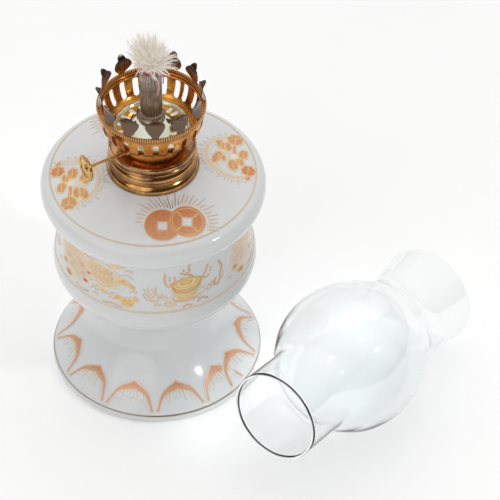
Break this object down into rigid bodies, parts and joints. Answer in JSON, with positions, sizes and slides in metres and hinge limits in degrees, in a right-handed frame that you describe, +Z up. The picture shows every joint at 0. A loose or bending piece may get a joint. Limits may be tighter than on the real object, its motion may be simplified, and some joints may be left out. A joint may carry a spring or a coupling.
{
  "type": "oil lamp",
  "caption": "Small white opal glass oil lamp on a flared foot, with painted gilt decoration, a brass burner with a pronged gallery and wick key, and a clear glass chimney lying beside it.",
  "frame": {"origin": "on the lamp's vertical axis, in the plane of the foot's base ring, where it stands on the table", "axes": "+Z up along the lamp's axis; +X runs along the lying chimney, from its fitter end towards its flared top; the chimney lies on the -Y side"},
  "size_m": [0.129, 0.163, 0.176],
  "materials": {
    "opal_glass": "glossy white opal glass with enamel and gilt decoration",
    "lacquered_brass": "polished, lacquered yellow brass",
    "tarnished_brass": "polished brass, tarnished brown",
    "crown_brass": "pressed brass, orange lacquer, brown in the recesses",
    "bright_plate": "mirror-polished pale brass",
    "tube_steel": "fluted, grey-brown tinned steel",
    "plaster": "lamp plaster",
    "cotton": "off-white cotton yarn",
    "red_thread": "faded red cotton tracer thread",
    "clear_glass": "clear blown glass, fire-polished ends"
  },
  "bodies": {
    "lamp": {"font": "opal_glass", "foot": "opal_glass", "collar": "tarnished_brass", "collar_cement": "plaster"},
    "burner": {"screw_skirt": "lacquered_brass", "burner_cap": "tarnished_brass", "base_disc": "lacquered_brass", "drum": "lacquered_brass", "reflector_plate": "bright_plate", "gallery_basket": "crown_brass", "prong_ring": "crown_brass", "wick_tube": "tube_steel", "tube_ferrule": "tube_steel", "bearing_bracket": "lacquered_brass", "shaft_sleeve": "lacquered_brass"},
    "key": {"key_shaft": "lacquered_brass", "key_knob": "lacquered_brass", "wick_wheel": "lacquered_brass"},
    "wick": {"wick": "cotton", "wick_tuft": "cotton", "tracer_thread": "red_thread"},
    "chimney": {"chimney": "clear_glass"}
  },
  "joints": [
    {"name": "burner_lift", "type": "slide", "parent": "lamp", "child": "burner", "axis": [0, 0, 1], "range_m": [0, 0.075]},
    {"name": "key_turn", "type": "hinge", "parent": "burner", "child": "key", "pos_m": [-0.00209, -0.00487, 0.126], "axis": [0.9191, -0.3939, 0], "range_deg": [0, 360]},
    {"name": "wick_raise", "type": "slide", "parent": "burner", "child": "wick", "axis": [0, 0, 1], "range_m": [0, 0.0135]},
    {"name": "chimney_lift", "type": "slide", "parent": "lamp", "child": "chimney", "axis": [0, 0, 1], "range_m": [0, 0.19]}
  ],
  "couplings": [
    {"joint": "key_turn", "follows": "wick_raise", "rad_per_m": 454.55}
  ]
}
